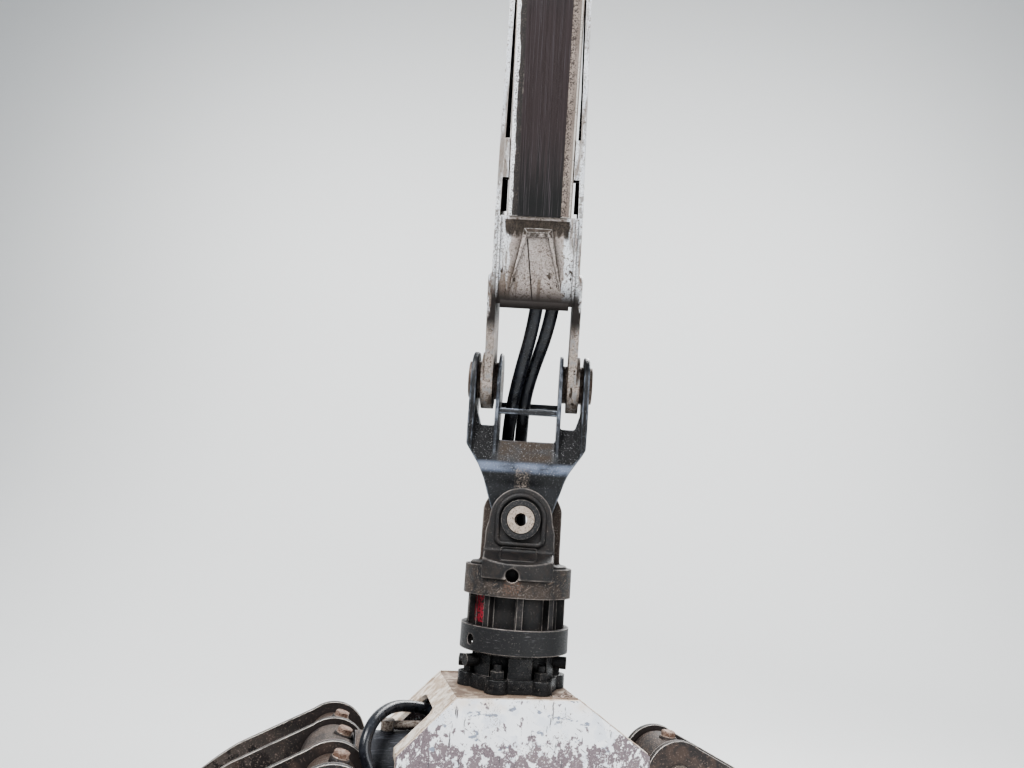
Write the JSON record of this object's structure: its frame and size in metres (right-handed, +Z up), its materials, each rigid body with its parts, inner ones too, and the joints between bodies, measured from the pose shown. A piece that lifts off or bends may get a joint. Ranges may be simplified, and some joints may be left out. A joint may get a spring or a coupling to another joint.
{
  "type": "forestry crane tip with rotator and timber grapple",
  "caption": "Lower end of a timber crane boom carrying a link, a hydraulic rotator with guard rings, and an open two-claw grapple with its cylinder and hoses.",
  "frame": {"origin": "middle of the bore through the upper end of the boom's extension beam", "axes": "+Z up, +X to the right and +Y away from the viewer who faces the crane; the beam leans 24 degrees, its upper end towards the viewer"},
  "size_m": [1.5416, 0.8858, 2.856],
  "materials": {
    "beam_paint": "worn grey and white paint over dark steel, scratched along the slide",
    "slide_pad_nylon": "dark nylon",
    "boom_tip_paint": "dirty white paint, worn to dark steel at its edges",
    "link_black_paint": "black paint, worn bright at its edges",
    "pin_steel": "bare steel with light rust",
    "rotator_black_paint": "black paint, dusty",
    "fitting_steel": "zinc plated, dull",
    "hose_rubber": "black rubber cover",
    "rusty_plate": "brown rusty steel with flakes",
    "frame_white_paint": "white paint worn to mauve grey primer",
    "frame_beige_paint": "cream paint, dirty and rusty",
    "claw_black_paint": "black paint worn to steel",
    "cylinder_black_paint": "satin black paint, scratched",
    "rod_chrome": "hard chrome"
  },
  "bodies": {
    "boom": {"beam": "beam_paint", "slide_pads": "slide_pad_nylon", "cheek_left": "boom_tip_paint", "cheek_right": "boom_tip_paint", "cheek_spacers": "boom_tip_paint", "tip_web_front": "boom_tip_paint", "tip_web_back": "boom_tip_paint", "hose_bulkhead": "fitting_steel", "boom_hose_left": "hose_rubber", "boom_hose_right": "hose_rubber"},
    "link": {"link_casting": "link_black_paint", "hose_guide_bars": "link_black_paint", "tip_pin_left": "pin_steel", "tip_pin_right": "pin_steel", "tip_washers": "pin_steel", "hose_clamp": "link_black_paint", "link_hose_left": "hose_rubber", "link_hose_right": "hose_rubber"},
    "rotator": {"rotator_head": "rotator_black_paint", "rotator_pin": "pin_steel", "guard_ring_upper": "rotator_black_paint", "guard_ring_lower": "rotator_black_paint", "stator": "rotator_black_paint", "head_ports": "fitting_steel"},
    "grapple": {"rotor_flange": "rotator_black_paint", "rotor_ports": "fitting_steel", "top_plate": "rusty_plate", "frame_plate_front": "frame_white_paint", "frame_plate_back": "frame_white_paint", "shoulder_left": "frame_beige_paint", "shoulder_right": "frame_beige_paint", "frame_floor": "frame_beige_paint", "hose_port_block": "fitting_steel", "pivot_pins_left": "pin_steel", "pivot_pins_right": "pin_steel", "grapple_hose": "hose_rubber"},
    "claw_left": {"tine_left_front": "claw_black_paint", "tine_left_back": "claw_black_paint", "claw_left_back": "claw_black_paint", "lever_bushings": "pin_steel", "pivot_bushings_left": "pin_steel", "lever_pin_left": "pin_steel", "hose_clip": "claw_black_paint", "barrel_hose": "hose_rubber"},
    "claw_right": {"tine_right": "claw_black_paint", "pivot_bushings_right": "pin_steel", "lever_pin_caps": "pin_steel"},
    "cylinder_barrel": {"barrel": "cylinder_black_paint", "gland": "cylinder_black_paint", "cylinder_pipe": "cylinder_black_paint", "barrel_port": "fitting_steel"},
    "cylinder_rod": {"rod": "rod_chrome", "rod_eye_pin": "pin_steel"}
  },
  "joints": [
    {"name": "link_swing", "type": "hinge", "parent": "boom", "child": "link", "pos_m": [0, 0.54703, -1.17947], "axis": [1, 0, 0], "range_deg": [-78, 70], "deforming": ["boom_hose_left", "boom_hose_right"]},
    {"name": "rotator_swing", "type": "hinge", "parent": "link", "child": "rotator", "pos_m": [0, 0.54703, -1.47747], "axis": [0, 1, 0], "range_deg": [-50, 50], "deforming": ["link_hose_left", "link_hose_right"]},
    {"name": "rotator_turn", "type": "hinge", "parent": "rotator", "child": "grapple", "pos_m": [0, 0.54703, -1.80947], "axis": [0, 0, 1], "continuous": true},
    {"name": "claw_left_close", "type": "hinge", "parent": "grapple", "child": "claw_left", "pos_m": [-0.25137, 0.48061, -2.15447], "axis": [0.2554, -0.9668, 0], "range_deg": [0, 52], "deforming": ["grapple_hose", "barrel_hose"]},
    {"name": "claw_right_close", "type": "hinge", "parent": "grapple", "child": "claw_right", "pos_m": [0.25137, 0.61344, -2.15447], "axis": [0.2554, -0.9668, 0], "range_deg": [-52, 0]},
    {"name": "barrel_tilt", "type": "hinge", "parent": "claw_left", "child": "cylinder_barrel", "pos_m": [-0.33162, 0.45941, -1.96547], "axis": [0.2554, -0.9668, 0], "range_deg": [-52, 0]},
    {"name": "rod_slide", "type": "slide", "parent": "cylinder_barrel", "child": "cylinder_rod", "axis": [0.9668, 0.2554, 0], "range_m": [0, 0.23408]}
  ],
  "couplings": [
    {"joint": "claw_right_close", "follows": "claw_left_close", "ratio": -1},
    {"joint": "barrel_tilt", "follows": "claw_left_close", "ratio": -1},
    {"joint": "rod_slide", "follows": "claw_left_close", "m_per_rad": 0.25791}
  ]
}
